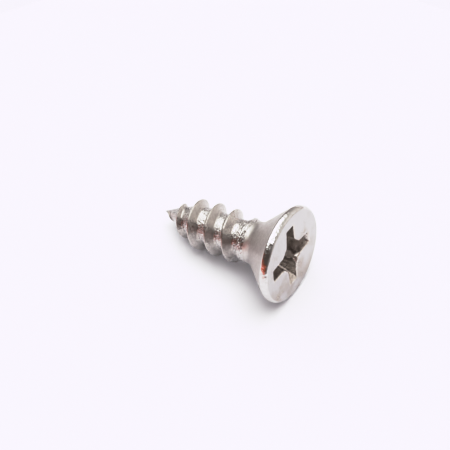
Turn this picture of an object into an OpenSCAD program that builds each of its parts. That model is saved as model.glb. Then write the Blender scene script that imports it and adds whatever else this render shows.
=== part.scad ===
// Countersunk cross-recess wood screw, millimetres.
// Origin at the centre of the flat of the head, +X out of the head along the screw,
// the point towards -X, +Z up. Every sub-part is modelled where it sits.

/* [Overall size] */
// Whole length, from the flat of the head to the tip
screw_length = 12.7; // [8:0.1:40]
// Diameter of the head across its rim
head_d = 7.9; // [5:0.05:14]

/* [Head] */
// Height of the plain cylindrical rim, from the flat to where the seat starts
rim_h = 0.55; // [0.4:0.05:1.2]
// Rounding of the edge between the flat and the rim
face_round = 0.28; // [0.05:0.01:0.35]
// Included angle of the countersunk seat, degrees
seat_angle = 82; // [60:1:100]

/* [Cross recess] */
// Reach of the recess across two opposite wings, at the flat
recess_d = 5.3; // [2.5:0.05:7]
// Width of each wing at the flat
wing_w = 1; // [0.6:0.05:2]
// Width of each wing at the floor
wing_floor_w = 0.78; // [0.4:0.01:1.6]
// Diameter of the round core of the recess at the flat
recess_core_d = 2.7; // [1.5:0.05:4]
// Depth of the recess from the flat to the middle of its floor
recess_depth = 2.45; // [1:0.05:4]
// Slope of the outer ends of the wings from the axis, degrees
wing_slope = 26.5; // [10:0.5:35]
// Turn of the recess about +X, degrees
recess_turn = -6.4; // [-45:0.1:45]
// How far off the screw's axis the recess is punched, towards +Y
recess_off_y = -0.16; // [-0.3:0.01:0.3]
// How far off the screw's axis the recess is punched, towards +Z
recess_off_z = 0.17; // [-0.3:0.01:0.3]
// Least metal kept between the recess floor and the end of the seat
recess_floor_min = 0.25; // [0.1:0.05:1]

/* [Neck] */
// Diameter of the plain neck under the head
neck_d = 3.5; // [2.5:0.05:6]
// Radius of the fillet between the seat and the neck
neck_fillet = 1.2; // [0.3:0.05:3]
// Length of the plain neck after the fillet
neck_plain = 0.45; // [0.2:0.05:3]

/* [Thread] */
// Diameter over the crests
thread_d = 4.25; // [3:0.05:8]
// Diameter of the core at the thread roots
core_d = 2.95; // [2:0.05:6]
// Pitch of the single right-hand thread
pitch = 1.693; // [0.8:0.001:3]
// Width of the flat left on the crest
crest_w = 0.12; // [0.04:0.01:0.3]
// Included angle of the two flanks, degrees
flank_angle = 60; // [30:1:80]
// Direction of the crest about +X at the flat, degrees from +Y
thread_phase = 206; // [0:1:360]
// Length over which the core rises to the neck
core_rise = 0.7; // [0.3:0.05:2]
// Length over which the crest grows to full height
runout_length = 1.2; // [0.6:0.05:3]
// Width of the rolled-down crest where the thread starts
runout_crest_w = 0.3; // [0.1:0.01:0.6]

/* [Gimlet point] */
// Length of the tapered point
point_length = 3.7; // [2:0.1:6]
// Diameter of the blunt left at the very tip
tip_d = 0.06; // [0.04:0.01:0.3]
// How full the point and its thread are: 1 tapers straight, more bulges outwards
point_swell = 1.25; // [1:0.05:1.8]
// Fraction of the point length that the thread climbs towards the tip
point_thread_reach = 0.95; // [0.6:0.01:0.98]

/* [Hidden] */
$fn = 96;

steel = [0.66, 0.65, 0.64];
worn = [0.60, 0.59, 0.58];

// How deep a ridge is sunk into the core, so that the two always meet
bite = 0.03;
// Sections of the ridge to one turn
turn_steps = 48;
// Straight stretches along the side of the point
point_steps = 10;

head_r = head_d / 2;
neck_r = neck_d / 2;
core_r = core_d / 2;
thread_r = thread_d / 2;
tip_r = tip_d / 2;
half_seat = seat_angle / 2;

// Seat, fillet and neck, as distances behind the flat
seat_corner = rim_h + (head_r - neck_r) / tan(half_seat);
fillet_reach = neck_fillet * tan(half_seat / 2);
seat_end = seat_corner - fillet_reach * cos(half_seat);
seat_end_r = neck_r + fillet_reach * sin(half_seat);
fillet_end = seat_corner + fillet_reach;
neck_end = fillet_end + neck_plain;
point_start = screw_length - point_length;
recess_deep = min(recess_depth, seat_end - recess_floor_min);
recess_off = norm([recess_off_y, recess_off_z]);
recess_r = min(recess_d / 2, head_r - face_round - recess_off - 0.3);

// Ridge of the thread, as numbered sections; section i lies at distance ridge_s(i)
step_s = pitch / turn_steps;
ridge_start = neck_end - 0.15;
n_full = ceil(runout_length / step_s);
n_point = floor((point_start - ridge_start) / step_s);
n_tip = floor((screw_length - point_length * (1 - point_thread_reach) - ridge_start) / step_s);

function ridge_s(i) = ridge_start + i * step_s;

// Smooth step from 0 to 1
function ease(t) = let (u = max(0, min(1, t))) u * u * (3 - 2 * u);

// Radius of the plain body behind the thread at distance s
function body_r(s) =
    s < neck_end ? neck_r
    : s < neck_end + core_rise ? neck_r + (core_r - neck_r) * (s - neck_end) / core_rise
    : s < point_start ? core_r
    : core_r + (tip_r - core_r) * pow(min(1, (s - point_start) / point_length), point_swell);

// Radius over the crest at distance s
function crest_r(s) =
    let (grow = ease((s - ridge_start) / runout_length),
         full = neck_r - bite / 2 + (thread_r - neck_r + bite / 2) * grow,
         taper_start = point_start - 0.15,
         end_s = ridge_s(n_tip),
         end_r = body_r(end_s) + 0.02,
         t = (s - taper_start) / (end_s - taper_start))
    t <= 0 ? full : full + (end_r - full) * pow(t, point_swell);

function crest_half(s) =
    (runout_crest_w + (crest_w - runout_crest_w) * ease((s - ridge_start) / runout_length)) / 2
    * max(0.3, min(1, (crest_r(s) - body_r(s)) / 0.2));

// One section of the ridge: foot, crest, crest, foot
function section(i) =
    let (s = ridge_s(i),
         a = thread_phase - 360 * s / pitch,
         rc = crest_r(s),
         high = max(rc - body_r(s), 0.01),
         ch = crest_half(s),
         fh = ch + high * tan(flank_angle / 2) + 0.01,
         r1 = min(body_r(s - fh), rc) - bite,
         r2 = min(body_r(s + fh), rc) - bite)
    [for (p = [[s - fh, max(r1, tip_r / 2)], [s - ch, rc], [s + ch, rc],
               [s + fh, max(r2, tip_r / 2)]])
        [-p[0], p[1] * cos(a), p[1] * sin(a)]];

// A ridge through the sections i0 to i1
module ridge(i0, i1) {
    n = i1 - i0;
    pts = [for (i = [i0:i1]) each section(i)];
    walls = [for (i = [0:n - 1], k = [0:3])
        let (a = 4 * i + k, b = 4 * i + (k + 1) % 4)
        each [[a, a + 4, b], [b, a + 4, b + 4]]];
    caps = [[0, 1, 2], [0, 2, 3],
            [4 * n, 4 * n + 2, 4 * n + 1], [4 * n, 4 * n + 3, 4 * n + 2]];
    polyhedron(pts, concat(walls, caps), convexity = 8);
}

// A body turned about the screw's axis; the profile is [radius, -distance]
module turned() {
    rotate([0, 90, 0]) rotate_extrude() children();
}

// One pair of opposite wings of the recess
module wing_pair(long) {
    rotate([90, 0, 0])
        linear_extrude(height = long, center = true)
            polygon([[-wing_w / 2 - 0.05 * (wing_w - wing_floor_w) / recess_deep, 0.1],
                     [wing_w / 2 + 0.05 * (wing_w - wing_floor_w) / recess_deep, 0.1],
                     [wing_floor_w / 2, -recess_deep],
                     [-wing_floor_w / 2, -recess_deep]]);
}

// The space of the recess
module recess() {
    floor_r = recess_r - recess_deep * tan(wing_slope);
    cone_h = 0.35;
    translate([0, recess_off_y, recess_off_z]) rotate([recess_turn, 0, 0]) rotate([0, 90, 0])
    intersection() {
        union() {
            wing_pair(head_d);
            rotate([0, 0, 90]) wing_pair(head_d);
            translate([0, 0, -recess_deep])
                cylinder(h = recess_deep + 0.1, r1 = recess_core_d * 0.36, r2 = recess_core_d / 2);
        }
        rotate_extrude() polygon([
            [0, 0.1], [recess_r + 0.1 * tan(wing_slope), 0.1],
            [floor_r + cone_h * tan(wing_slope), -recess_deep + cone_h], [0.2, -recess_deep],
            [0, -recess_deep]]);
    }
}

module head() {
    color(steel) difference() {
        turned() difference() {
            polygon([[0, 0], [head_r, 0], [head_r, -rim_h], [seat_end_r, -seat_end],
                     [0, -seat_end]]);
            translate([head_r - face_round, -face_round]) difference() {
                square(face_round + 0.1);
                circle(r = face_round);
            }
        }
        recess();
    }
}

module neck() {
    color(steel) turned() difference() {
        polygon([[0, -seat_end], [seat_end_r, -seat_end], [neck_r, -fillet_end],
                 [neck_r, -neck_end], [0, -neck_end]]);
        translate([neck_r + neck_fillet, -fillet_end]) circle(r = neck_fillet);
    }
}

module core() {
    color(steel) turned() polygon([
        [0, -neck_end], [neck_r, -neck_end], [core_r, -neck_end - core_rise],
        [core_r, -point_start], [0, -point_start]]);
}

module thread() {
    color(steel) ridge(n_full, n_point);
}

module thread_runout() {
    color(worn) ridge(0, n_full);
}

module point() {
    side = [for (i = [0:point_steps])
        let (s = point_start + point_length * i / point_steps) [body_r(s), -s]];
    color(steel) turned() polygon(concat(
        [[0, -point_start], [core_r, -point_start]],
        [for (i = [1:point_steps]) side[i]], [[0, -screw_length]]));
}

module point_thread() {
    color(steel) ridge(n_point, n_tip);
}

head();
neck();
core();
thread();
thread_runout();
point();
point_thread();
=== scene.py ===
"""Looks of a short countersunk wood screw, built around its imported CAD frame.

The screw lies on a pale floor on the rim of its head and the crest of its thread. Each formed
region of the screw (head, neck, core, thread, run-out, point) is a closed mesh of its own that
stands for the CAD node of the same region. Sizes are in millimetres and turn to metres only
where a mesh is written.
"""

import logging
import math
from dataclasses import dataclass, field
from enum import Enum
from typing import Any, Callable, ClassVar

import bpy
from mathutils import Matrix, Vector, noise


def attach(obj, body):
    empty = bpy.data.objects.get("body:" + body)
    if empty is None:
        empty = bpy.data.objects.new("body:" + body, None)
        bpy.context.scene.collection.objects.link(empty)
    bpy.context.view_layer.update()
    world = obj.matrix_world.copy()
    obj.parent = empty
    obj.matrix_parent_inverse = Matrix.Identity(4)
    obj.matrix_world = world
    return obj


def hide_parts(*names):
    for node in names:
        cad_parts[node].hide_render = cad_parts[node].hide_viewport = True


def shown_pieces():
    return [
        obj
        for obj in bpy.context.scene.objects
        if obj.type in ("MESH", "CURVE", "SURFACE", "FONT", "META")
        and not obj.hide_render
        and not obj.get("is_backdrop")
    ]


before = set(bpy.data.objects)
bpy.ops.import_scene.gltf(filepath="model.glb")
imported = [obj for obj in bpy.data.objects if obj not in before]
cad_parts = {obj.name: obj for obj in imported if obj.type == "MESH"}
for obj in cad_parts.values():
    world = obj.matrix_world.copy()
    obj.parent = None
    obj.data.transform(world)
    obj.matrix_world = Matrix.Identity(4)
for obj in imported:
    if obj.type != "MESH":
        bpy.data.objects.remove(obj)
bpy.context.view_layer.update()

MM = 0.001
LOG = logging.getLogger("wood_screw")
Point2 = tuple[float, float]
Point3 = tuple[float, float, float]
Ring = list[Point3]


class Lay(Enum):
    """Ways in which the fine lines of a metal surface can run."""

    ROUND = "round the screw"
    ALONG = "along the screw"


class Zone(Enum):
    """Surfaces of the head that were made in different ways, in material slot order."""

    FLAT = 0
    RIM = 1
    SEAT = 2
    RECESS = 3


# ---------------------------------------------------------------- small helpers


def linear(hex_value: str) -> tuple[float, float, float, float]:
    """Turn an sRGB hex colour into linear light.

    Args:
        hex_value: six hex digits, such as "C9C4BC".

    Returns:
        Red, green, blue in linear light, and alpha 1.
    """
    out = []
    for k in (0, 2, 4):
        v = int(hex_value[k : k + 2], 16) / 255
        out.append(v / 12.92 if v <= 0.04045 else ((v + 0.055) / 1.055) ** 2.4)
    return (out[0], out[1], out[2], 1.0)


def ease(t: float) -> float:
    """Return a smooth step from 0 to 1 as t goes from 0 to 1."""
    u = max(0.0, min(1.0, t))
    return u * u * (3 - 2 * u)


def mix(a: float, b: float, t: float) -> float:
    """Return the value a share t of the way from a to b."""
    return a + (b - a) * t


def wander(x: float, y: float, z: float) -> float:
    """Return the same smooth noise from about -1 to 1 for the same three numbers."""
    return noise.noise(Vector((x, y, z)))


def round_polygon(corners: list[tuple[float, float, float, int]], closed: bool) -> list[Point2]:
    """Round the corners of a polygon or an open line with arcs.

    Args:
        corners: x, y, radius and number of points of the arc at each corner. A radius of 0
            keeps the corner as one point.
        closed: whether the last corner joins the first.

    Returns:
        The points of the rounded outline, in order.
    """
    out: list[Point2] = []
    n = len(corners)
    for i, (x, y, r, count) in enumerate(corners):
        if r <= 0 or (not closed and i in (0, n - 1)):
            out.append((x, y))
            continue
        px, py = corners[i - 1][:2]
        nx, ny = corners[(i + 1) % n][:2]
        a = Vector((px - x, py - y)).normalized()
        b = Vector((nx - x, ny - y)).normalized()
        half = a.angle(b) / 2
        reach = r / math.tan(half)
        centre = Vector((x, y)) + (a + b).normalized() * (r / math.sin(half))
        start = Vector((x, y)) + a * reach - centre
        end = Vector((x, y)) + b * reach - centre
        sweep = math.atan2(start.x * end.y - start.y * end.x, start.dot(end))
        for k in range(count):
            t = sweep * k / (count - 1)
            c, s = math.cos(t), math.sin(t)
            out.append(
                (centre.x + c * start.x - s * start.y, centre.y + s * start.x + c * start.y)
            )
    return out


def spread(line: list[Point2], step: float) -> list[Point2]:
    """Put more points on the long stretches of an open line.

    Args:
        line: the line's points.
        step: the longest stretch to leave.

    Returns:
        The line with extra points.
    """
    out = [line[0]]
    for (x0, y0), (x1, y1) in zip(line, line[1:]):
        parts = max(1, math.ceil(math.hypot(x1 - x0, y1 - y0) / step))
        out += [(mix(x0, x1, k / parts), mix(y0, y1, k / parts)) for k in range(1, parts + 1)]
    return out


def turned_ring(s: float, r: float, count: int) -> Ring:
    """Return a ring of radius r at distance s behind the flat, from +Y towards +Z."""
    step = 2 * math.pi / count
    return [(-s, r * math.cos(k * step), r * math.sin(k * step)) for k in range(count)]


def skin(rings: list[Ring], name: str, materials: list[bpy.types.Material],
         zone_of: Callable[[int], int] | None = None, sharp_deg: float = 40.0,
         centre_first: bool = False, centre_last: bool = False) -> bpy.types.Object:
    """Join rings of points into one closed mesh that rides on the screw's body.

    Args:
        rings: rings of equal length, each a closed loop, in millimetres.
        name: the piece's name.
        materials: the finishes, in slot order.
        zone_of: gives the material slot of the band that starts at ring i.
        sharp_deg: edges that turn more than this are shaded sharp.
        centre_first: close the first end with a fan to its centre.
        centre_last: close the last end with a fan to its centre.

    Returns:
        The new object.
    """
    n = len(rings[0])
    verts = [Vector(p) * MM for ring in rings for p in ring]
    faces: list[tuple[int, ...]] = []
    zones: list[int] = []
    for i in range(len(rings) - 1):
        zone = zone_of(i) if zone_of else 0
        for k in range(n):
            a, b = i * n + k, i * n + (k + 1) % n
            faces.append((a, b, b + n, a + n))
            zones.append(zone)
    for wanted, first, zone in (
        (centre_first, 0, zones[0]),
        (centre_last, (len(rings) - 1) * n, zones[-1]),
    ):
        loop = [first + k for k in range(n)]
        if wanted:
            middle = sum((verts[v] for v in loop), Vector()) / n
            verts.append(middle)
            fan = [(loop[(k + 1) % n], loop[k], len(verts) - 1) for k in range(n)]
            faces += fan if first == 0 else [f[::-1] for f in fan]
            zones += [zone] * n
        else:
            faces.append(tuple(reversed(loop)) if first == 0 else tuple(loop))
            zones.append(zone)
    mesh = bpy.data.meshes.new(name)
    mesh.from_pydata(verts, [], faces)
    for material in materials:
        mesh.materials.append(material)
    mesh.polygons.foreach_set("material_index", zones)
    mesh.polygons.foreach_set("use_smooth", [True] * len(faces))
    mesh.update()
    obj = bpy.data.objects.new(name, mesh)
    bpy.context.scene.collection.objects.link(obj)
    if signed_volume(mesh) < 0:
        mesh.flip_normals()
    mesh.set_sharp_from_angle(angle=math.radians(sharp_deg))
    LOG.info("%s: %d faces", name, len(faces))
    return obj


def signed_volume(mesh: bpy.types.Mesh) -> float:
    """Return the volume a closed mesh holds, below 0 if its faces point inwards."""
    total = 0.0
    for face in mesh.polygons:
        points = [mesh.vertices[v].co for v in face.vertices]
        for b, c in zip(points[1:], points[2:]):
            total += points[0].dot(b.cross(c))
    return total / 6


def stand_for(obj: bpy.types.Object, node: str) -> None:
    """Make a piece ride on the screw and stand for one CAD node.

    Args:
        obj: the visible piece.
        node: the CAD node it replaces.
    """
    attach(obj, "root")
    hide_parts(node)


# ---------------------------------------------------------------- finishes


def add(tree: bpy.types.NodeTree, kind: str, links: dict[Any, Any] | None = None,
        **settings: Any) -> bpy.types.Node:
    """Add one node with its settings and links.

    Args:
        tree: the node tree.
        kind: the node's type name.
        links: input name or number to a node, a (node, output) pair or a plain value.
        **settings: attributes of the node.

    Returns:
        The new node.
    """
    node = tree.nodes.new(kind)
    for key, value in settings.items():
        setattr(node, key, value)
    for key, source in (links or {}).items():
        if isinstance(source, bpy.types.Node):
            tree.links.new(source.outputs[0], node.inputs[key])
        elif isinstance(source, tuple) and isinstance(source[0], bpy.types.Node):
            tree.links.new(source[0].outputs[source[1]], node.inputs[key])
        else:
            node.inputs[key].default_value = source
    return node


def span(tree: bpy.types.NodeTree, source: Any, limits: Point2, to: Point2 = (0.0, 1.0),
         **settings: Any) -> bpy.types.Node:
    """Turn one range of values into another, held at its ends.

    Args:
        tree: the node tree.
        source: a node or a (node, output) pair.
        limits: the two values that the range runs between.
        to: what they turn into.
        **settings: attributes of the node.

    Returns:
        The new node.
    """
    return add(tree, "ShaderNodeMapRange",
               {"Value": source, "From Min": limits[0], "From Max": limits[1],
                "To Min": to[0], "To Max": to[1]}, **settings)


def blend(tree: bpy.types.NodeTree, share: Any, first: Any, second: Any) -> bpy.types.Node:
    """Mix two colours, each a linear colour or a (node, output) pair, by a share."""
    return add(tree, "ShaderNodeMix", {"Factor": share, "A": first, "B": second},
               data_type="RGBA")


def speckle(tree: bpy.types.NodeTree, place: bpy.types.Node, size_mm: float, detail: float,
            roughness: float = 0.6) -> bpy.types.Node:
    """Add a noise with blotches of about a size, read at a place in millimetres."""
    return add(tree, "ShaderNodeTexNoise", {"Vector": place, "Scale": 1 / size_mm,
                                            "Detail": detail, "Roughness": roughness})


def bump(tree: bpy.types.NodeTree, height: bpy.types.Node, depth_mm: float,
         under: bpy.types.Node | None = None) -> bpy.types.Node:
    """Raise the surface by a noise, on top of another bump if there is one."""
    links = {"Height": height, "Distance": depth_mm * MM, "Strength": 1.0}
    if under:
        links["Normal"] = under
    return add(tree, "ShaderNodeBump", links)


@dataclass(frozen=True)
class NickelPlate:
    """Bright nickel on cold-formed steel, as cold heading and thread rolling leave it.

    To the eye it is a warm grey mirror that is never quite clean: the surface under the plate
    waves a little, fine lines run round it where it was rolled or turned over in the barrel,
    and patches are more or less satin.
    """

    name: str
    tint: str = "D6D4D3"
    dull_tint: str = "BAB6B4"
    low_blotch_tint: str = "A0917F"
    roughness: float = 0.16
    roughness_swing: float = 0.08
    wave_mm: float = 0.9
    wave_depth_mm: float = 0.004
    line_mm: float = 0.07
    line_depth_mm: float = 0.0008
    pit_mm: float = 0.12
    pit_depth_mm: float = 0.0006
    grime_and_shade: float = 0.0
    low_blotch: float = 0.0
    low_blotch_slope: float = 0.0
    lay: Lay = Lay.ROUND
    PATCH_MM: ClassVar[float] = 1.25
    PATCH_SPAN: ClassVar[Point2] = (0.3, 0.7)
    LINE_SPAN: ClassVar[Point2] = (0.35, 0.75)
    PIT_SPAN: ClassVar[Point2] = (0.35, 0.72)
    LOW_BLOTCH_SPAN: ClassVar[Point2] = (0.48, 0.68)
    LINE_SATIN: ClassVar[float] = 0.6
    LEAST_GRIME: ClassVar[float] = 0.55
    LINES_ALONG: ClassVar[float] = 1.6
    LINES_ROUND: ClassVar[float] = 2.2

    def make(self) -> bpy.types.Material:
        """Build the material.

        Returns:
            A node material in the screw's own frame, so that it runs on from piece to piece.
        """
        material = bpy.data.materials.new(self.name)
        material.use_nodes = True
        tree = material.node_tree
        tree.nodes.clear()
        place = add(tree, "ShaderNodeTexCoord")
        mm = add(tree, "ShaderNodeVectorMath", {0: (place, "Object"), 1: (1 / MM,) * 3},
                 operation="MULTIPLY")
        lines = speckle(tree, self.line_place(tree, mm), 1.0, 3.0)
        wave = speckle(tree, mm, self.wave_mm, 2.0, 0.5)
        pits = speckle(tree, mm, self.pit_mm, 2.5)
        patches = speckle(tree, mm, self.PATCH_MM, 5.0)
        half_swing = self.roughness_swing / 2
        satin = span(tree, patches, self.PATCH_SPAN,
                     (self.roughness - half_swing, self.roughness + half_swing))
        streak = span(tree, lines, self.LINE_SPAN,
                      (0.0, self.roughness_swing * self.LINE_SATIN))
        rough = add(tree, "ShaderNodeMath", {0: satin, 1: streak}, operation="ADD")
        # Blotches of the dull tint, at random; in the recess their share is raised and their tint
        # darker, partly as painted shade.
        dull = span(tree, pits, self.PIT_SPAN, (0.0, self.LEAST_GRIME + self.grime_and_shade))
        # Blotches of the brown tint that grow where Z is low, so the piece is drawn darker and
        # browner towards its bottom.
        height = add(tree, "ShaderNodeSeparateXYZ", {0: mm})
        leaning = add(tree, "ShaderNodeMath",
                      {0: (height, 2), 1: -self.low_blotch_slope, 2: patches},
                      operation="MULTIPLY_ADD")
        low_blotches = span(tree, leaning, self.LOW_BLOTCH_SPAN, (0.0, self.low_blotch))
        colour = blend(tree, dull, linear(self.tint), linear(self.dull_tint))
        low_blotched = blend(tree, low_blotches, (colour, "Result"), linear(self.low_blotch_tint))
        big = bump(tree, wave, self.wave_depth_mm)
        fine = bump(tree, lines, self.line_depth_mm, big)
        grain = bump(tree, pits, self.pit_depth_mm, fine)
        shader = add(tree, "ShaderNodeBsdfPrincipled",
                     {"Base Color": (low_blotched, "Result"), "Metallic": 1.0, "Roughness": rough,
                      "Normal": grain})
        add(tree, "ShaderNodeOutputMaterial", {"Surface": shader})
        return material

    def line_place(self, tree: bpy.types.NodeTree, mm: bpy.types.Node) -> bpy.types.Node:
        """Stretch the place so that noise read there turns into fine lines.

        Args:
            tree: the node tree.
            mm: the place in millimetres.

        Returns:
            A node with the stretched place.
        """
        if self.lay is Lay.ALONG:
            fine = 1 / self.line_mm
            return add(tree, "ShaderNodeVectorMath", {0: mm, 1: (self.LINES_ALONG, fine, fine)},
                       operation="MULTIPLY")
        parts = add(tree, "ShaderNodeSeparateXYZ", {0: mm})
        across = add(tree, "ShaderNodeCombineXYZ", {1: (parts, 1), 2: (parts, 2)})
        unit = add(tree, "ShaderNodeVectorMath", {0: across}, operation="NORMALIZE")
        turn = add(tree, "ShaderNodeVectorMath",
                   {0: unit, 1: (0, self.LINES_ROUND, self.LINES_ROUND)}, operation="MULTIPLY")
        along = add(tree, "ShaderNodeMath", {0: (parts, 0), 1: 1 / self.line_mm},
                    operation="MULTIPLY")
        radius = add(tree, "ShaderNodeVectorMath", {0: across}, operation="LENGTH")
        out_lines = add(tree, "ShaderNodeMath",
                        {0: (radius, "Value"), 1: 1 / self.line_mm, 2: along},
                        operation="MULTIPLY_ADD")
        fine_place = add(tree, "ShaderNodeCombineXYZ", {0: out_lines})
        return add(tree, "ShaderNodeVectorMath", {0: fine_place, 1: turn}, operation="ADD")


# The flat of the head is struck by the punch: even, faintly waved, softly satin, and drawn darker
# and browner towards its bottom in blotches.
STRUCK_FLAT = NickelPlate("nickel_plate_struck_flat", tint="C4C2C3", dull_tint="B8B3B1",
                          roughness=0.22, roughness_swing=0.08, wave_mm=1.6,
                          wave_depth_mm=0.006, line_depth_mm=0.0002, low_blotch=0.42,
                          low_blotch_slope=0.035)
# The rim was squeezed against the die and then scuffed in the barrel: near a mirror, but
# broken up by short marks that run along the screw.
POLISHED_RIM = NickelPlate("nickel_plate_polished_rim", roughness=0.1, roughness_swing=0.08,
                           wave_mm=0.5, wave_depth_mm=0.05, line_mm=0.15,
                           line_depth_mm=0.022, pit_mm=0.25, pit_depth_mm=0.012,
                           lay=Lay.ALONG)
# The seat kept the die's fine matte skin: satin, it only shades.
SATIN_SEAT = NickelPlate("nickel_plate_satin_seat", tint="D0CDCB", dull_tint="B4AFAC",
                         roughness=0.44, roughness_swing=0.12, wave_mm=0.5,
                         wave_depth_mm=0.02, line_depth_mm=0.003, pit_mm=0.17,
                         pit_depth_mm=0.014)
# The recess is punched deep, where barrel plating is thin: greyer and less bright, in more and
# darker blotches, partly for the thin plate and partly as painted shade of the recess.
PUNCHED_RECESS_WITH_SHADE = NickelPlate("nickel_plate_punched_recess_with_shade", tint="DAD5D1", dull_tint="B0A8A2",
                             roughness=0.2, roughness_swing=0.14, wave_mm=0.5,
                             wave_depth_mm=0.08, pit_mm=0.2, pit_depth_mm=0.03, grime_and_shade=0.2)
# The rolls leave the skin of the core faintly crinkled, so its mirror breaks up in blotches.
# The crinkle is drawn between an eighth and a third of a millimetre, coarser than a real one.
ROLLED_THREAD = NickelPlate("nickel_plate_rolled_thread", roughness=0.17,
                            roughness_swing=0.14, wave_mm=0.32, wave_depth_mm=0.06,
                            line_mm=0.12, line_depth_mm=0.045, pit_mm=0.16,
                            pit_depth_mm=0.06)
# The ridge itself was pressed up between the rolls and burnished on both flanks: an even,
# fine-grained satin.
ROLLED_FLANK = NickelPlate("nickel_plate_rolled_flank", tint="C9C5C2", dull_tint="A29C98",
                           roughness=0.26, roughness_swing=0.14, wave_mm=0.5,
                           wave_depth_mm=0.03, line_mm=0.11, line_depth_mm=0.008,
                           pit_mm=0.15, pit_depth_mm=0.03)
# Run-out: the rolls tear and fold the metal here, so it glitters in broken lines.
TORN_RUNOUT = NickelPlate("nickel_plate_torn_runout", dull_tint="A8A29E",
                          roughness=0.19, roughness_swing=0.16, wave_mm=0.3,
                          wave_depth_mm=0.04, line_mm=0.1, line_depth_mm=0.05, pit_mm=0.14,
                          pit_depth_mm=0.03)


# ---------------------------------------------------------------- the screw


@dataclass(frozen=True)
class Shank:
    """Sizes of the body behind the head, in millimetres, shared by its pieces."""

    length: float = 12.7
    head_r: float = 3.95
    rim_h: float = 0.55
    half_seat_deg: float = 41.0
    neck_r: float = 1.75
    neck_fillet: float = 1.2
    neck_plain: float = 0.45
    thread_r: float = 2.125
    core_r: float = 1.475
    pitch: float = 1.693
    phase_deg: float = 206.0
    core_rise: float = 0.7
    runout: float = 1.2
    point_length: float = 3.7
    tip_r: float = 0.03
    point_swell: float = 1.25
    point_reach: float = 0.95
    turn_steps: int = 48
    start_lap: float = 0.15
    start_sunk: float = 0.015
    taper_lead: float = 0.15
    end_rise: float = 0.02
    runout_crest: float = 0.15
    full_crest: float = 0.06
    least_crest_share: float = 0.3
    low_ridge: float = 0.2

    @property
    def seat_corner(self) -> float:
        """Distance at which the seat's slope would meet the neck."""
        return self.rim_h + (self.head_r - self.neck_r) / math.tan(math.radians(self.half_seat_deg))

    @property
    def fillet_reach(self) -> float:
        """Distance from that corner to either end of the fillet."""
        return self.neck_fillet * math.tan(math.radians(self.half_seat_deg) / 2)

    @property
    def seat_end(self) -> float:
        """Distance at which the seat turns into the fillet."""
        return self.seat_corner - self.fillet_reach * math.cos(math.radians(self.half_seat_deg))

    @property
    def fillet_end(self) -> float:
        """Distance at which the fillet turns into the plain neck."""
        return self.seat_corner + self.fillet_reach

    @property
    def neck_end(self) -> float:
        """Distance at which the neck falls away to the core."""
        return self.fillet_end + self.neck_plain

    @property
    def point_start(self) -> float:
        """Distance at which the core starts to taper to the tip."""
        return self.length - self.point_length

    @property
    def ridge_start(self) -> float:
        """Distance at which the thread starts to rise from the neck."""
        return self.neck_end - self.start_lap

    @property
    def ridge_end(self) -> float:
        """Distance at which the thread fades out near the tip."""
        step = self.pitch / self.turn_steps
        reach = self.length - self.point_length * (1 - self.point_reach) - self.ridge_start
        return self.ridge_start + math.floor(reach / step) * step

    def body_r(self, s: float) -> float:
        """Return the radius of the plain body at distance s behind the flat."""
        if s < self.neck_end:
            return self.neck_r
        if s < self.point_start:
            t = ease((s - self.neck_end) / self.core_rise)
            return mix(self.neck_r, self.core_r, t)
        t = min(1.0, (s - self.point_start) / self.point_length)
        return mix(self.core_r, self.tip_r, t**self.point_swell)

    def crest_r(self, s: float) -> float:
        """Return the radius over the crest of the thread at distance s behind the flat."""
        grow = ease((s - self.ridge_start) / self.runout)
        full = mix(self.neck_r - self.start_sunk, self.thread_r, grow)
        taper = self.point_start - self.taper_lead
        end_r = self.body_r(self.ridge_end) + self.end_rise
        t = (s - taper) / (self.ridge_end - taper)
        return full if t <= 0 else mix(full, end_r, min(t, 1.0) ** self.point_swell)

    def crest_half(self, s: float) -> float:
        """Return half the width of the crest at distance s behind the flat."""
        grow = ease((s - self.ridge_start) / self.runout)
        high = self.crest_r(s) - self.body_r(s)
        share = max(self.least_crest_share, min(1.0, high / self.low_ridge))
        return mix(self.runout_crest, self.full_crest, grow) * share

    def angle(self, s: float) -> float:
        """Return the direction of the crest about +X at distance s, in radians from +Y."""
        return math.radians(self.phase_deg) - 2 * math.pi * s / self.pitch


SHANK = Shank()
# Points to one turn of the turned pieces
ROUND = 384
# Radius of the ring that closes the flat ends of the turned pieces
CAP_R = 0.8


@dataclass(frozen=True)
class Tear:
    """Torn metal: lines that run round the screw, broken by chips and burrs."""

    line_mm: float = 0.2
    line_bend: float = 1.4
    line_share: float = 1.5
    chip_share: float = 0.6
    small_chip_share: float = 0.6
    burr_level: float = 0.3
    burr_gain: float = 4

    def height(self, s: float, a: float) -> float:
        """Return how the metal stands out at a distance and an angle, from about -1 to 2.

        Args:
            s: distance behind the flat.
            a: angle about the screw's axis.

        Returns:
            The height, to be scaled by the piece.
        """
        y, z = math.cos(a), math.sin(a)
        bend = self.line_bend * wander(s * 1.5, y * 2.2, z * 2.2)
        lines = abs(math.sin(s * math.pi / self.line_mm + bend))
        small_chips = self.small_chip_share * wander(s * 16, y * 26, z * 26)
        chips = wander(s * 11, y * 9, z * 9) + small_chips
        burr = max(0.0, wander(s * 7 + 7, y * 8, z * 8) - self.burr_level) * self.burr_gain
        return self.line_share * (lines - 0.5) + self.chip_share * chips + burr


TEAR = Tear()


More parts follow.
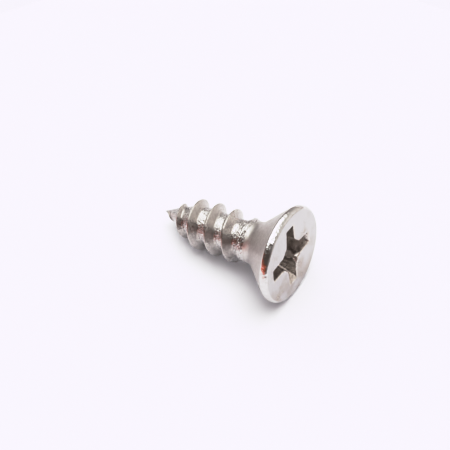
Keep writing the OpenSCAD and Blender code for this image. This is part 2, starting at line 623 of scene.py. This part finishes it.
@dataclass
class Head:
    """Flat countersunk head with its cross recess: face, rim, seat and recess in one mesh."""

    shank: Shank = SHANK
    face_round: float = 0.28
    crown_at: float = 0.42
    rim_back_round: float = 0.16
    reach: float = 2.65
    wing_w: float = 1.0
    wing_floor_w: float = 0.78
    wing_flare: float = 0.1
    tongue_mouth: float = 1.27
    tongue_floor: float = 0.9
    tongue_round: float = 0.52
    end_round: float = 0.07
    depth: float = 2.45
    wing_slope_deg: float = 26.5
    floor_cone: float = 0.35
    lip: float = 0.1
    turn_deg: float = -6.4
    shift_y: float = -0.16
    shift_z: float = 0.17
    burr_spot: Point3 = (0.3, 0.62, -0.78)
    burr_reach: float = 0.36
    burr_height: float = 0.2
    points_between: int = 12
    back_inset: float = 0.4
    flat_inset: float = 0.3
    profile_step: float = 0.09
    # How far the points drift from even spacing to face the mouth's points
    drift: float = 0.6
    seat_from: float = 0.03
    flat_within: float = 0.004
    name: str = "head"
    # Points of the arcs at the corners of one quarter of the recess: two tip, two tongue
    ARCS: ClassVar[tuple[int, ...]] = (7, 7, 9, 9)
    EDGE_STEPS: ClassVar[int] = 24
    FLAT_STEPS: ClassVar[int] = 8
    LIP_STEPS: ClassVar[int] = 7
    WALL_STEPS: ClassVar[int] = 24
    FLOOR_STEPS: ClassVar[int] = 13

    def outline(self, depth: float, outset: float) -> list[Point2]:
        """Give the recess's outline in the plane at a depth below the flat.

        Args:
            depth: millimetres below the flat.
            outset: millimetres by which the lip opens the outline.

        Returns:
            Points as (Y, Z) before the recess's turn, from +Y towards +Z.
        """
        t = depth / self.depth
        tip = self.reach - depth * math.tan(math.radians(self.wing_slope_deg)) + outset
        half = mix(self.wing_w, self.wing_floor_w, t) / 2 + outset
        tongue = mix(self.tongue_mouth, self.tongue_floor, t) + outset
        wide = half + self.wing_flare
        inner = tongue * math.sqrt(2) - wide
        corners = []
        for q in range(4):
            c, s = math.cos(q * math.pi / 2), math.sin(q * math.pi / 2)
            tip_round = self.end_round + outset * 0.5
            tongue_round = max(self.tongue_round - outset, 0.1)
            for (x, y, r), count in zip((
                (tip, -half, tip_round),
                (tip, half, tip_round),
                (inner, wide, tongue_round),
                (wide, inner, tongue_round),
            ), self.ARCS):
                corners.append((c * x - s * y, s * x + c * y, r, count))
        points = round_polygon(corners, closed=True)
        return self.fill_between(points)

    def fill_between(self, points: list[Point2]) -> list[Point2]:
        """Share out extra points on the straight stretches, the same number on each.

        Args:
            points: a rounded outline, with the points of ARCS in each quarter.

        Returns:
            The outline with the same number of points at every depth.
        """
        out: list[Point2] = []
        quarter = sum(self.ARCS)
        ends = [sum(self.ARCS[: k + 1]) - 1 for k in range(len(self.ARCS))]
        for i, (x, y) in enumerate(points):
            out.append((x, y))
            if i % quarter in ends:
                nx, ny = points[(i + 1) % len(points)]
                extra = self.points_between
                for k in range(1, extra + 1):
                    t = k / (extra + 1)
                    out.append((mix(x, nx, t), mix(y, ny, t)))
        return out

    def turned_recess(self, points: list[Point2], depth: float) -> Ring:
        """Return an outline turned about the screw's axis, as a ring at a depth."""
        c, s = math.cos(math.radians(self.turn_deg)), math.sin(math.radians(self.turn_deg))
        ring = []
        for y, z in points:
            place = Vector((depth, self.shift_y + c * y - s * z, self.shift_z + s * y + c * z))
            away = (place - Vector(self.burr_spot)).length / self.burr_reach
            push = self.burr_height * math.exp(-away * away) * (1 if depth > 0 else 0)
            inward = Vector((0, place.y, place.z)).normalized() * push
            place -= inward
            ring.append((-depth, place.y, place.z))
        return ring

    def profile(self) -> list[Point2]:
        """Give the outside as (distance, radius): back disc, seat, rim, edge and flat."""
        sh = self.shank
        seat_r = sh.head_r - (sh.seat_end - sh.rim_h) * math.tan(math.radians(sh.half_seat_deg))
        outer = round_polygon(
            [
                (sh.seat_end, seat_r, 0, 1),
                (sh.rim_h, sh.head_r, self.rim_back_round, 9),
                (self.crown_at, sh.head_r, 0, 1),
            ],
            closed=False,
        )
        for k in range(1, self.EDGE_STEPS + 1):
            a = k / self.EDGE_STEPS * math.pi / 2
            outer.append((self.crown_at * (1 - math.sin(a)),
                          sh.head_r - self.face_round * (1 - math.cos(a))))
        outer.append((0.0, sh.head_r - self.face_round - self.flat_inset))
        return [(sh.seat_end, sh.neck_r - self.back_inset), *spread(outer, self.profile_step)]

    def zone_at(self, s: float) -> Zone:
        """Return the surface that a distance behind the flat belongs to."""
        if s > self.shank.rim_h + self.seat_from:
            return Zone.SEAT
        return Zone.RIM if s > self.flat_within else Zone.FLAT

    def outside(self, profile: list[Point2], mouth: Ring) -> list[Ring]:
        """Turn the profile, its points drifting towards the directions of the mouth's."""
        n = len(mouth)
        angles = [math.atan2(z, y) for _, y, z in mouth]
        even = [angles[0] + (k * 2 * math.pi / n) for k in range(n)]
        rings: list[Ring] = []
        for s, r in profile:
            share = ease((self.shank.seat_end - s) / self.shank.seat_end)
            ring = []
            for a, own in zip(even, angles):
                b = a + ((own - a + math.pi) % (2 * math.pi) - math.pi)
                turn = mix(a, b, self.drift * share)
                ring.append((-s, r * math.cos(turn), r * math.sin(turn)))
            rings.append(ring)
        return rings

    def recess_rings(self) -> list[Ring]:
        """Give the rings of the recess: rounded lip, walls and sloped floor."""
        rings = []
        for k in range(1, self.LIP_STEPS + 1):
            a = k / self.LIP_STEPS * math.pi / 2
            depth = self.lip * (1 - math.cos(a))
            rings.append(
                self.turned_recess(self.outline(depth, self.lip * (1 - math.sin(a))), depth)
            )
        wall_end = self.depth - self.floor_cone
        for k in range(1, self.WALL_STEPS + 1):
            depth = mix(self.lip, wall_end, k / self.WALL_STEPS)
            rings.append(self.turned_recess(self.outline(depth, 0.0), depth))
        floor = self.outline(wall_end, 0.0)
        for k in range(1, self.FLOOR_STEPS):
            t = k / self.FLOOR_STEPS
            depth = wall_end + self.floor_cone * math.sin(t * math.pi / 2)
            rings.append(
                self.turned_recess([(y * (1 - t), z * (1 - t)) for y, z in floor], depth)
            )
        return rings

    def build(self, materials: list[bpy.types.Material]) -> bpy.types.Object:
        """Build the head.

        Args:
            materials: the finishes of flat, rim, seat and recess.

        Returns:
            The head's object.
        """
        profile = self.profile()
        mouth = self.turned_recess(self.outline(0.0, self.lip), 0.0)
        rings = self.outside(profile, mouth)
        zones = [self.zone_at(s) for s, _ in profile]
        last = rings[-1]
        for k in range(1, self.FLAT_STEPS + 1):
            t = k / self.FLAT_STEPS
            rings.append([(0.0, mix(p[1], q[1], t), mix(p[2], q[2], t))
                          for p, q in zip(last, mouth)])
            zones.append(Zone.FLAT)
        recess = self.recess_rings()
        zones += [Zone.RECESS] * len(recess)
        return skin(rings + recess, self.name, materials, lambda i: zones[i + 1].value,
                    sharp_deg=50, centre_last=True)


@dataclass
class Neck:
    """Fillet from the seat and short neck, torn where the thread rolls reached it."""

    shank: Shank = SHANK
    torn_from: float = 0.05
    torn_height: float = 0.03
    torn_growth: float = 0.12
    ring_step: float = 0.02
    name: str = "neck"
    FILLET_STEPS: ClassVar[int] = 32

    def build(self, materials: list[bpy.types.Material]) -> bpy.types.Object:
        """Build the neck, from the seat to where it falls away to the core.

        Args:
            materials: the finishes of the smooth and the torn stretch.

        Returns:
            The neck's object.
        """
        sh = self.shank
        half = math.radians(sh.half_seat_deg)
        centre = (sh.fillet_end, sh.neck_r + sh.neck_fillet)
        line: list[Point2] = [(sh.seat_end, CAP_R)]
        for k in range(self.FILLET_STEPS + 1):
            a = half * (1 - k / self.FILLET_STEPS)
            line.append((centre[0] - sh.neck_fillet * math.sin(a),
                         centre[1] - sh.neck_fillet * math.cos(a)))
        line += spread([(sh.fillet_end, sh.neck_r), (sh.neck_end, sh.neck_r)],
                       self.ring_step)[1:]
        line.append((sh.neck_end, CAP_R))
        rings = [self.ring(s, r) for s, r in line]
        torn_from = sh.fillet_end + self.torn_from
        return skin(rings, self.name, materials, lambda i: 1 if line[i][0] > torn_from else 0)

    def ring(self, s: float, r: float) -> Ring:
        """Return the neck's ring at a distance and radius, torn next to the thread."""
        share = ease((s - self.shank.fillet_end - self.torn_from) / self.torn_growth)
        if share <= 0 or r < self.shank.neck_r - 0.01:
            return turned_ring(s, r, ROUND)
        step = 2 * math.pi / ROUND
        out = []
        for k in range(ROUND):
            own = r + self.torn_height * share * TEAR.height(s, k * step)
            out.append((-s, own * math.cos(k * step), own * math.sin(k * step)))
        return out


@dataclass
class Core:
    """Cylinder at the thread's root, rising to the neck, where its skin is torn."""

    shank: Shank = SHANK
    torn_length: float = 0.9
    torn_height: float = 0.03
    # Share of the torn length after which the tears die away, and over which they do
    torn_fade: float = 0.6
    name: str = "core"
    STATIONS: ClassVar[int] = 240

    def build(self, materials: list[bpy.types.Material]) -> bpy.types.Object:
        """Build the core.

        Args:
            materials: the finishes of the rolled and the torn stretch.

        Returns:
            The core's object.
        """
        sh = self.shank
        count = self.STATIONS
        stations = [mix(sh.neck_end, sh.point_start, k / count) for k in range(count + 1)]
        rings = [turned_ring(stations[0], CAP_R, ROUND)]
        rings += [self.ring(s) for s in stations]
        rings.append(turned_ring(stations[-1], CAP_R, ROUND))
        torn_to = sh.neck_end + self.torn_length
        return skin(rings, self.name, materials,
                    lambda i: 0 if i > 0 and stations[i - 1] > torn_to else 1)

    def ring(self, s: float) -> Ring:
        """Return the core's ring at a distance, torn next to the neck."""
        sh = self.shank
        fade = self.torn_length * self.torn_fade
        share = 1 - ease((s - sh.neck_end - fade) / fade)
        high = self.torn_height * share * ease((s - sh.neck_end) / 0.05 + 0.3)
        step = 2 * math.pi / ROUND
        out = []
        for k in range(ROUND):
            r = sh.body_r(s) + (high * TEAR.height(s, k * step) if high > 0 else 0.0)
            out.append((-s, r * math.cos(k * step), r * math.sin(k * step)))
        return out


@dataclass
class GimletPoint:
    """Tapered point of the core."""

    shank: Shank = SHANK
    name: str = "point"
    STATIONS: ClassVar[int] = 90

    def build(self, material: bpy.types.Material) -> bpy.types.Object:
        """Build the point.

        Args:
            material: the finish.

        Returns:
            The point's object.
        """
        sh = self.shank
        count = self.STATIONS
        stations = [mix(sh.point_start, sh.length, k / count) for k in range(count + 1)]
        rings = [turned_ring(stations[0], CAP_R, ROUND // 2)]
        rings += [turned_ring(s, max(sh.body_r(s), sh.tip_r), ROUND // 2) for s in stations]
        return skin(rings, self.name, [material], centre_last=True)


@dataclass
class Ridge:
    """A stretch of the helical thread, with a thin crest and filleted roots."""

    name: str
    start: float
    end: float
    shank: Shank = SHANK
    flank_deg: float = 30.0
    root_round: float = 0.22
    crest_round: float = 0.05
    bite: float = 0.12
    steps_per_turn: int = 200
    roughen: float = 0.0
    cuts: int = 2
    crest_wander: float = 0.012
    # Height under which the wander and the root's fillet shrink with the ridge
    low: float = 0.3
    least_height: float = 0.004
    root_sunk: float = 0.001
    toe_sunk: float = 0.006
    toe_reach: float = 0.02
    tail_spare: float = 0.03
    torn_above: float = 0.1
    # Numbers of the points after which a straight stretch of the section starts
    STRAIGHTS: ClassVar[tuple[int, ...]] = (0, 12, 17, 22, 34)

    def section(self, s: float) -> list[Point2]:
        """Give one section of the ridge as (distance, radius).

        Args:
            s: distance of the section's middle behind the flat.

        Returns:
            The closed section, with its foot sunk in the core.
        """
        sh = self.shank
        a = sh.angle(s)
        base = sh.body_r(s)
        top = sh.crest_r(s)
        sway = wander(s * 1.7, math.cos(a) * 1.3, math.sin(a) * 1.3)
        top += self.crest_wander * sway * min(1.0, (top - base) / self.low)
        high = max(top - base, self.least_height)
        half = sh.crest_half(s)
        foot = half + high * math.tan(math.radians(self.flank_deg))
        rr = self.root_round * min(1.0, high / self.low)
        tail = rr * math.tan(math.radians(90 - self.flank_deg) / 2) + self.tail_spare
        cr = min(self.crest_round, half * 0.8, high * 0.3)
        line = round_polygon(
            [
                (s - foot - tail - self.toe_reach, base - self.toe_sunk, 0, 1),
                (s - foot, base - self.root_sunk, rr, 12),
                (s - half, base + high, cr, 5),
                (s + half, base + high, cr, 5),
                (s + foot, base - self.root_sunk, rr, 12),
                (s + foot + tail + self.toe_reach, base - self.toe_sunk, 0, 1),
            ],
            closed=False,
        )
        fine = [line[0]]
        for i, (p, q) in enumerate(zip(line, line[1:])):
            parts = self.cuts if i in self.STRAIGHTS else 1
            fine += [(mix(p[0], q[0], k / parts), mix(p[1], q[1], k / parts))
                     for k in range(1, parts + 1)]
        out: list[Point2] = []
        for x, r in fine:
            lift = r - base
            own = sh.body_r(x) + lift
            if self.roughen and lift > 0:
                own += self.roughen * min(1.0, lift / self.torn_above) * TEAR.height(x, a)
            out.append((x, own))
        first, last = out[0], out[-1]
        out.append((last[0], max(sh.body_r(last[0]) - self.bite, 0.01)))
        out.append((first[0], max(sh.body_r(first[0]) - self.bite, 0.01)))
        return out

    def build(self, material: bpy.types.Material) -> bpy.types.Object:
        """Sweep the section along the helix.

        Args:
            material: the finish.

        Returns:
            The ridge's object.
        """
        sh = self.shank
        count = max(8, round((self.end - self.start) / sh.pitch * self.steps_per_turn))
        rings: list[Ring] = []
        for i in range(count + 1):
            s = mix(self.start, self.end, i / count)
            a = sh.angle(s)
            c, d = math.cos(a), math.sin(a)
            rings.append([(-x, r * c, r * d) for x, r in self.section(s)])
        return skin(rings, self.name, [material], sharp_deg=60)


# ---------------------------------------------------------------- the room


@dataclass
class Room:
    """Pale floor, the room that lights and is mirrored, the camera and its response.

    Ways are elevation over the floor and azimuth in degrees. Spans are the shares of the way
    towards something (1 is straight at it, 0 square to it) where one thing turns into another.
    """

    rest_tilt_deg: float = 12.0
    floor_radius_mm: float = 45.0
    floor_middle_mm: Point3 = (-6.0, 0.0, 0.0)
    floor_sides: int = 96
    floor_hex: str = "E9EAF0"
    sky_hex: str = "FFFFFF"
    sky_strength: float = 2.1
    left_window: Point2 = (53.0, 145.0)
    right_window: Point2 = (53.0, -162.0)
    window_half_deg: float = 23.0
    window_soft_deg: float = 5.0
    lamp_way: Point2 = (83.0, 98.0)
    lamp_half_deg: float = 27.0
    lamp_soft_deg: float = 5.0
    lamp_strength: float = 5.1
    lamp_hex: str = "FFFCFB"
    ceiling_share: float = 0.1
    glint_way: Point2 = (76.0, -60.0)
    glint_half_deg: float = 17.0
    shade_hex: str = "D9D2CE"
    shade_strength: float = 0.56
    far_wall_hex: str = "49423F"
    near_wall_hex: str = "B2AFAE"
    table_hex: str = "7A6F68"
    warm_hex: str = "A4502C"
    near_wall_way: Point2 = (12.0, 50.0)
    wall_span: Point2 = (0.05, 0.95)
    table_span: Point2 = (0.06, -0.12)
    warm_way: Point2 = (0.0, -115.0)
    warm_span: Point2 = (0.62, 0.84)
    warm_top: Point2 = (0.17, 0.07)
    warm_foot: Point2 = (-0.32, -0.22)
    toe: Point2 = (0.25, 0.195)
    knee: Point2 = (0.75, 0.83)
    paper_light: float = 1.1
    full_white: float = 1.8
    camera_mm: Point3 = (20.357, -28.114, 37.070)
    target_mm: Point3 = (-4.977, -1.359, 2.603)
    lens_mm: float = 52.4
    sensor_mm: float = 36.0
    clip_m: Point2 = (0.001, 10.0)
    backdrop: tuple[float, float, float, float] = field(
        default_factory=lambda: linear("F9F6FD")
    )

    @property
    def up(self) -> Vector:
        """Unit vector out of the floor, in the screw's frame."""
        t = math.radians(self.rest_tilt_deg)
        return Vector((math.sin(t), 0.0, math.cos(t)))

    def direction(self, elevation: float, azimuth: float) -> Vector:
        """Return a unit vector at angles over the floor, azimuth from +X towards +Y."""
        e, a = math.radians(elevation), math.radians(azimuth)
        side = Vector((0, 1, 0))
        ahead = side.cross(self.up)
        flat = ahead * math.cos(a) + side * math.sin(a)
        return flat * math.cos(e) + self.up * math.sin(e)

    def add_floor(self) -> bpy.types.Object:
        """Lay a one-sided floor against the lowest points of the screw.

        Returns:
            The floor's object.
        """
        up = self.up
        bpy.context.view_layer.update()
        low = min(
            (o.matrix_world @ v.co).dot(up)
            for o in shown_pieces()
            for v in o.data.vertices
        )
        mesh = bpy.data.meshes.new("floor")
        centre = Vector(self.floor_middle_mm) * MM
        centre += up * (low - centre.dot(up))
        turn = 360 / self.floor_sides
        ring = [centre + self.direction(0, turn * k) * (self.floor_radius_mm * MM)
                for k in range(self.floor_sides)]
        mesh.from_pydata(ring, [], [tuple(range(self.floor_sides))])
        mesh.update()
        if mesh.polygons[0].normal.dot(up) < 0:
            mesh.flip_normals()
        floor = bpy.data.objects.new("floor", mesh)
        bpy.context.scene.collection.objects.link(floor)
        material = bpy.data.materials.new("white_paper_floor")
        material.use_nodes = True
        tree = material.node_tree
        tree.nodes.clear()
        facing = add(tree, "ShaderNodeNewGeometry")
        paper = add(tree, "ShaderNodeBsdfDiffuse", {"Color": linear(self.floor_hex)})
        clear = add(tree, "ShaderNodeBsdfTransparent")
        both = add(tree, "ShaderNodeMixShader", {0: (facing, "Backfacing"), 1: paper, 2: clear})
        add(tree, "ShaderNodeOutputMaterial", {"Surface": both})
        mesh.materials.append(material)
        floor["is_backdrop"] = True
        return floor

    def toward(self, tree: bpy.types.NodeTree, place: bpy.types.Node,
               way: Vector) -> tuple[bpy.types.Node, str]:
        """Measure how far the surroundings lie towards a direction, 1 being straight at it."""
        node = add(tree, "ShaderNodeVectorMath", {0: (place, "Generated"), 1: tuple(way)},
                   operation="DOT_PRODUCT")
        return node, "Value"

    def spot(self, tree: bpy.types.NodeTree, place: bpy.types.Node, way: Point2, half: float,
             soft: float) -> bpy.types.Node:
        """Mark a round patch of the surroundings with a soft edge.

        Args:
            tree: the world's nodes.
            place: the texture coordinate node.
            way: elevation and azimuth of the patch's middle.
            half: degrees from its middle to its edge.
            soft: degrees over which the edge fades, to either side.

        Returns:
            A node that gives 1 in the patch and 0 outside.
        """
        edge = (math.cos(math.radians(half + soft)), math.cos(math.radians(half - soft)))
        near = self.toward(tree, place, self.direction(*way))
        return span(tree, near, edge, interpolation_type="SMOOTHSTEP")

    def add_light(self) -> None:
        """Light the room.

        Diffuse rays meet a wide soft lamp overhead and an even shade, which light the paper.
        Mirrored rays meet two windows, a dim ceiling with a glint, walls and a warm table
        edge. The camera itself sees the paper-white backdrop.
        """
        world = bpy.data.worlds.new("soft_room")
        bpy.context.scene.world = world
        world.use_nodes = True
        tree = world.node_tree
        tree.nodes.clear()
        place = add(tree, "ShaderNodeTexCoord")
        height = self.toward(tree, place, self.up)
        left, right = (
            self.spot(tree, place, way, self.window_half_deg, self.window_soft_deg)
            for way in (self.left_window, self.right_window)
        )
        lamp = self.spot(tree, place, self.lamp_way, self.lamp_half_deg, self.lamp_soft_deg)
        glint = self.spot(tree, place, self.glint_way, self.glint_half_deg,
                          self.window_soft_deg)
        ceiling = add(tree, "ShaderNodeMath", {0: lamp, 1: self.ceiling_share, 2: glint},
                      operation="MULTIPLY_ADD")
        windows = add(tree, "ShaderNodeMath", {0: left, 1: right}, operation="MAXIMUM")
        dome = add(tree, "ShaderNodeMath", {0: windows, 1: ceiling}, operation="MAXIMUM",
                   use_clamp=True)
        wall_share = span(tree, self.toward(tree, place, self.direction(*self.near_wall_way)),
                          self.wall_span)
        walls = blend(tree, wall_share, linear(self.far_wall_hex), linear(self.near_wall_hex))
        below = span(tree, height, self.table_span)
        with_table = blend(tree, below, (walls, "Result"), linear(self.table_hex))
        facing = span(tree, self.toward(tree, place, self.direction(*self.warm_way)),
                      self.warm_span)
        top_edge = span(tree, height, self.warm_top)
        foot_edge = span(tree, height, self.warm_foot)
        band = add(tree, "ShaderNodeMath", {0: top_edge, 1: foot_edge}, operation="MULTIPLY")
        share = add(tree, "ShaderNodeMath", {0: facing, 1: band}, operation="MULTIPLY")
        warm = blend(tree, share, (with_table, "Result"), linear(self.warm_hex))
        tinted = blend(tree, dome, (warm, "Result"), linear(self.sky_hex))
        mirrored = add(tree, "ShaderNodeBackground",
                       {"Color": (tinted, "Result"), "Strength": self.sky_strength})
        overhead = add(tree, "ShaderNodeBackground",
                       {"Color": linear(self.lamp_hex), "Strength": self.lamp_strength})
        shade = add(tree, "ShaderNodeBackground",
                    {"Color": linear(self.shade_hex), "Strength": self.shade_strength})
        on_paper = add(tree, "ShaderNodeMixShader", {0: lamp, 1: shade, 2: overhead})
        backdrop = add(tree, "ShaderNodeBackground",
                       {"Color": self.backdrop, "Strength": self.paper_light})
        ray = add(tree, "ShaderNodeLightPath")
        lit = add(tree, "ShaderNodeMixShader",
                  {0: (ray, "Is Diffuse Ray"), 1: mirrored, 2: on_paper})
        both = add(tree, "ShaderNodeMixShader",
                   {0: (ray, "Is Camera Ray"), 1: lit, 2: backdrop})
        add(tree, "ShaderNodeOutputWorld", {"Surface": both})

    def set_response(self) -> None:
        """Let bright light roll off towards paper white, as a camera does, in linear light."""
        view = bpy.context.scene.view_settings
        view.view_transform = "Standard"
        view.use_curve_mapping = True
        curves = view.curve_mapping
        curves.clip_max_x = self.full_white
        for channel, paper in zip(curves.curves[:3], self.backdrop):
            channel.points[0].location = (0.0, 0.0)
            channel.points[-1].location = (self.full_white, 1.0)
            channel.points.new(*self.toe)
            channel.points.new(*self.knee)
            channel.points.new(self.paper_light, paper)
        curves.update()

    def add_camera(self) -> None:
        """Put the camera at the viewing angle, level with the floor."""
        data = bpy.data.cameras.new("camera")
        data.lens = self.lens_mm
        data.sensor_width = self.sensor_mm
        data.clip_start, data.clip_end = self.clip_m
        camera = bpy.data.objects.new("camera", data)
        bpy.context.scene.collection.objects.link(camera)
        spot = Vector(self.camera_mm) * MM
        back = (spot - Vector(self.target_mm) * MM).normalized()
        right = self.up.cross(back).normalized()
        over = back.cross(right)
        turn = Matrix((right, over, back)).transposed().to_4x4()
        camera.matrix_world = Matrix.Translation(spot) @ turn
        bpy.context.scene.camera = camera


def main() -> None:
    """Build the screw piece by piece, then the room."""
    logging.basicConfig(level=logging.INFO, format="%(name)s: %(message)s")
    sh = SHANK
    flat, rim, seat, recess = (
        finish.make() for finish in (STRUCK_FLAT, POLISHED_RIM, SATIN_SEAT, PUNCHED_RECESS_WITH_SHADE)
    )
    rolled = ROLLED_THREAD.make()
    flank = ROLLED_FLANK.make()
    torn_skin = TORN_RUNOUT.make()
    step = sh.pitch / sh.turn_steps
    full_start = sh.ridge_start + math.ceil(sh.runout / step) * step
    point_start = sh.ridge_start + math.floor((sh.point_start - sh.ridge_start) / step) * step
    stand_for(Head().build([flat, rim, seat, recess]), "head")
    stand_for(Neck().build([seat, torn_skin]), "neck")
    stand_for(Core().build([rolled, torn_skin]), "core")
    stand_for(GimletPoint().build(rolled), "point")
    ridges = (
        (Ridge("thread", full_start, point_start), "thread", flank, "plated_steel"),
        (Ridge("thread_runout", sh.ridge_start, full_start, steps_per_turn=420,
               roughen=0.04, cuts=10), "thread_runout", torn_skin, "rolled_steel"),
        (Ridge("point_thread", point_start, sh.ridge_end), "point_thread", flank,
         "plated_steel"),
    )
    for ridge, node, finish, slot in ridges:
        stand_for(ridge.build(finish), node)
    room = Room()
    room.add_floor()
    room.add_light()
    room.add_camera()
    room.set_response()


if __name__ == "__main__":
    main()
